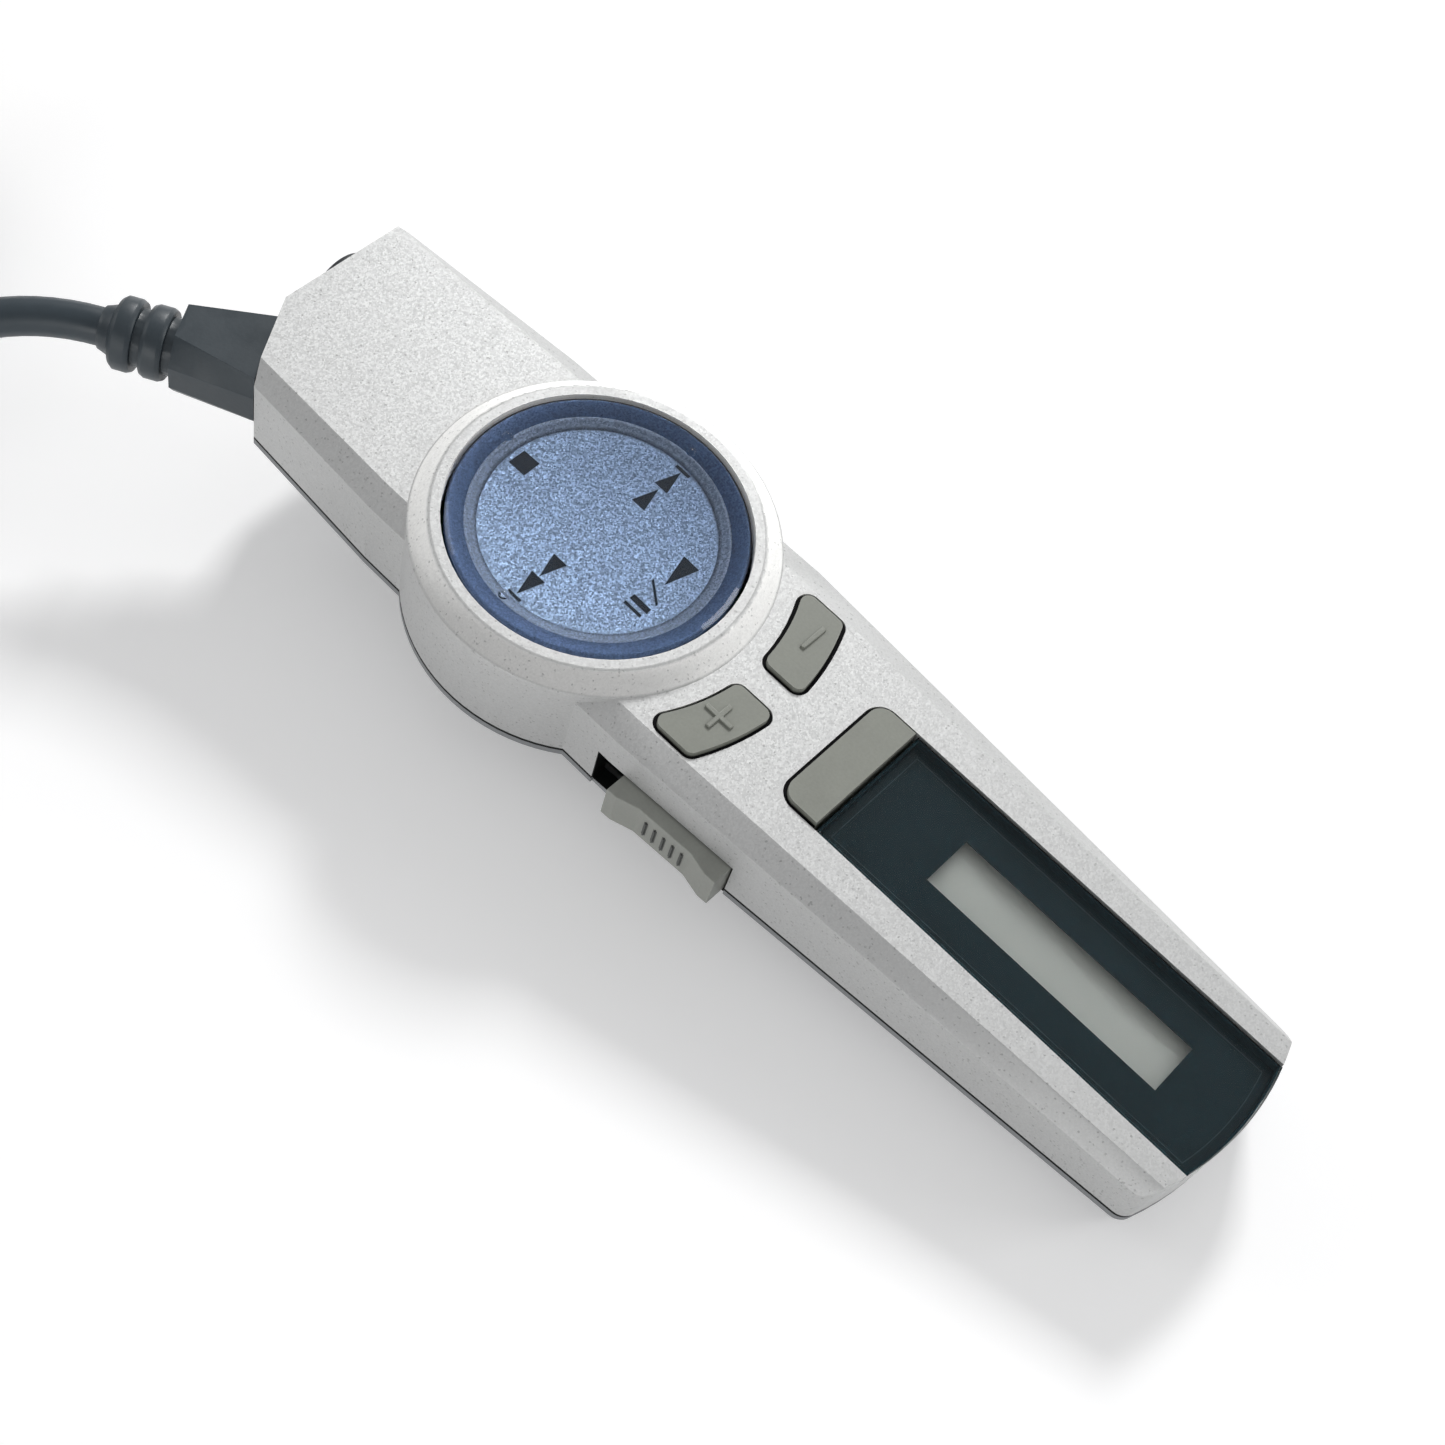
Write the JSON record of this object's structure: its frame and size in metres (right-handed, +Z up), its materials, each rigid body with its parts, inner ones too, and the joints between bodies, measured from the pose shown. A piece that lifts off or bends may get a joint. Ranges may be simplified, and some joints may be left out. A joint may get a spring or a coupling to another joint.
{
  "type": "wired remote control with display",
  "caption": "Slim wired remote control for a portable audio player, with a tilting control disc, volume and mode keys, hold slider, small display, back clip, headphone jack and cord with plug.",
  "frame": {"origin": "on the surface the remote rests on, below the centre of its bounding box without the cord", "axes": "+Z up from the surface, +Y towards the cord and jack end, +X to the right seen from above with the cord end away"},
  "size_m": [0.0506, 0.141, 0.0163],
  "materials": {
    "silver_shell": "satin metallic paint",
    "rear_shell": "satin",
    "blue_lens": "glossy",
    "sparkle_plate": "metallic",
    "white_moulding": "matte",
    "grey_key": "satin",
    "smoked_window": "glossy",
    "lcd": "satin",
    "board_green": "satin",
    "switch_metal": "satin",
    "chip_black": "matte",
    "contact_rubber": "matte",
    "clear_acrylic": "clear",
    "jack_plastic": "satin",
    "gold_plate": "polished",
    "screw_steel": "satin",
    "cord_rubber": "satin",
    "clip_plastic": "satin",
    "spring_steel": "satin"
  },
  "bodies": {
    "case": {"front_casing": "silver_shell", "rear_casing": "rear_shell", "upper_screw": "screw_steel", "left_screw": "screw_steel", "right_screw": "screw_steel", "stop_switch": "switch_metal", "forward_switch": "switch_metal", "play_switch": "switch_metal", "back_switch": "switch_metal", "volume_up_switch": "switch_metal", "volume_down_switch": "switch_metal", "mode_switch": "switch_metal", "circuit_board": "board_green", "display_window": "smoked_window", "display_panel": "lcd", "display_holder": "white_moulding", "contact_strip": "contact_rubber", "light_guide": "clear_acrylic", "controller_chip": "chip_black", "amplifier_chip": "chip_black", "hold_switch": "chip_black", "headphone_jack": "jack_plastic", "jack_contacts": "gold_plate", "cord_exit": "cord_rubber", "clip_pin": "spring_steel", "clip_spring": "spring_steel", "cord": "cord_rubber", "cord_tail": "cord_rubber", "cord_coil": "cord_rubber", "plug_grip": "cord_rubber", "plug_contacts": "gold_plate", "plug_bands": "chip_black"},
    "tilt_ring": {"tilt_ring": "white_moulding"},
    "control_disc": {"control_cap": "blue_lens", "control_plate": "sparkle_plate"},
    "volume_up_key": {"volume_up_button": "grey_key"},
    "volume_down_key": {"volume_down_button": "grey_key"},
    "mode_key": {"mode_button": "grey_key"},
    "hold_knob": {"hold_slider": "grey_key"},
    "clip": {"clip_lever": "clip_plastic"}
  },
  "joints": [
    {"name": "disc_tilt_stop_play", "type": "hinge", "parent": "case", "child": "tilt_ring", "pos_m": [0, 0.01329, 0.01126], "axis": [1, 0, 0], "range_deg": [-3, 3], "stiffness_Nm_per_rad": 0.08},
    {"name": "disc_tilt_skip", "type": "hinge", "parent": "tilt_ring", "child": "control_disc", "pos_m": [0, 0.01329, 0.01126], "axis": [0, 0.9936, 0.1133], "range_deg": [-3, 3], "stiffness_Nm_per_rad": 0.08},
    {"name": "volume_up_press", "type": "slide", "parent": "case", "child": "volume_up_key", "axis": [0, 0.1133, -0.9936], "range_m": [0, 0.00042], "stiffness_N_per_m": 800},
    {"name": "volume_down_press", "type": "slide", "parent": "case", "child": "volume_down_key", "axis": [0, 0.1133, -0.9936], "range_m": [0, 0.00042], "stiffness_N_per_m": 800},
    {"name": "mode_press", "type": "slide", "parent": "case", "child": "mode_key", "axis": [0, 0.1133, -0.9936], "range_m": [0, 0.00042], "stiffness_N_per_m": 800},
    {"name": "hold_slide", "type": "slide", "parent": "case", "child": "hold_knob", "axis": [-0.0483, 0.9924, 0.1132], "range_m": [0, 0.002]},
    {"name": "clip_squeeze", "type": "hinge", "parent": "case", "child": "clip", "pos_m": [0, 0.01733, 0.00236], "axis": [1, 0, 0], "range_deg": [0, 15], "stiffness_Nm_per_rad": 0.05, "springref_deg": -20.05, "deforming": ["clip_spring"]}
  ]
}
